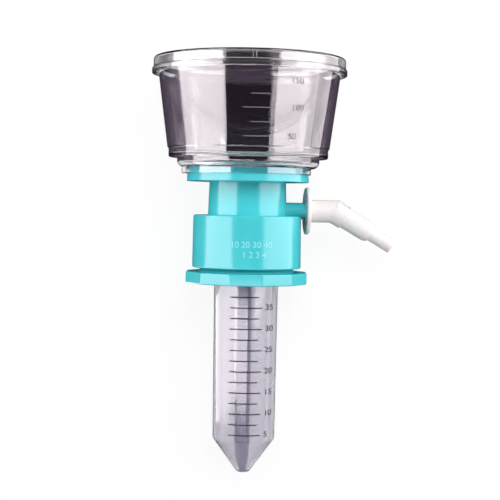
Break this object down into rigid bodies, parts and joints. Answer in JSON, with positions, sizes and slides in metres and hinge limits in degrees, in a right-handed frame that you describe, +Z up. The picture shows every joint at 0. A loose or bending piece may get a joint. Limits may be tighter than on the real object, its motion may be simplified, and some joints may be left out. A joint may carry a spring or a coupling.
{
  "type": "vacuum filtration unit",
  "caption": "Disposable vacuum filter unit: a lidded clear funnel over a membrane filter body with an angled hose elbow, screwed onto a conical centrifuge tube, lying on its side.",
  "frame": {"origin": "on the surface the unit lies on, under the centre of its bounding box", "axes": "+Y from the tip of the tube towards the lid, level with the surface; +X towards the hose elbow; +Z up"},
  "size_m": [0.113, 0.1945, 0.0882],
  "materials": {
    "clear_styrene": "polished clear polystyrene",
    "filter_membrane": "microporous white membrane",
    "natural_plastic": "satin moulded",
    "teal_plastic": "glossy moulded",
    "gasket_silicone": "translucent silicone",
    "tube_polypropylene": "slightly cloudy moulded polypropylene",
    "white_plastic": "satin moulded"
  },
  "bodies": {
    "filter": {"filter_body": "teal_plastic", "funnel": "clear_styrene", "membrane": "filter_membrane", "membrane_support": "natural_plastic", "neck_gasket": "gasket_silicone"},
    "lid": {"lid": "clear_styrene"},
    "elbow": {"hose_elbow": "white_plastic"},
    "tube": {"centrifuge_tube": "tube_polypropylene"},
    "collar": {"screw_collar": "teal_plastic"}
  },
  "joints": [
    {"name": "lid_lift", "type": "slide", "parent": "filter", "child": "lid", "axis": [0, 0.9841, 0.1776], "range_m": [0, 0.02]},
    {"name": "elbow_swivel", "type": "hinge", "parent": "filter", "child": "elbow", "pos_m": [0.01455, 0.02206, 0.0306], "axis": [0.9962, 0.0155, -0.0858], "continuous": true},
    {"name": "tube_draw", "type": "slide", "parent": "filter", "child": "tube", "axis": [0, -0.9841, -0.1776], "range_m": [0, 0.01]},
    {"name": "collar_turn", "type": "hinge", "parent": "tube", "child": "collar", "pos_m": [-0.01195, -0.01117, 0.02696], "axis": [0, -0.9841, -0.1776], "range_deg": [0, 900]}
  ],
  "couplings": [
    {"joint": "tube_draw", "follows": "collar_turn", "m_per_rad": 0.0006366}
  ]
}
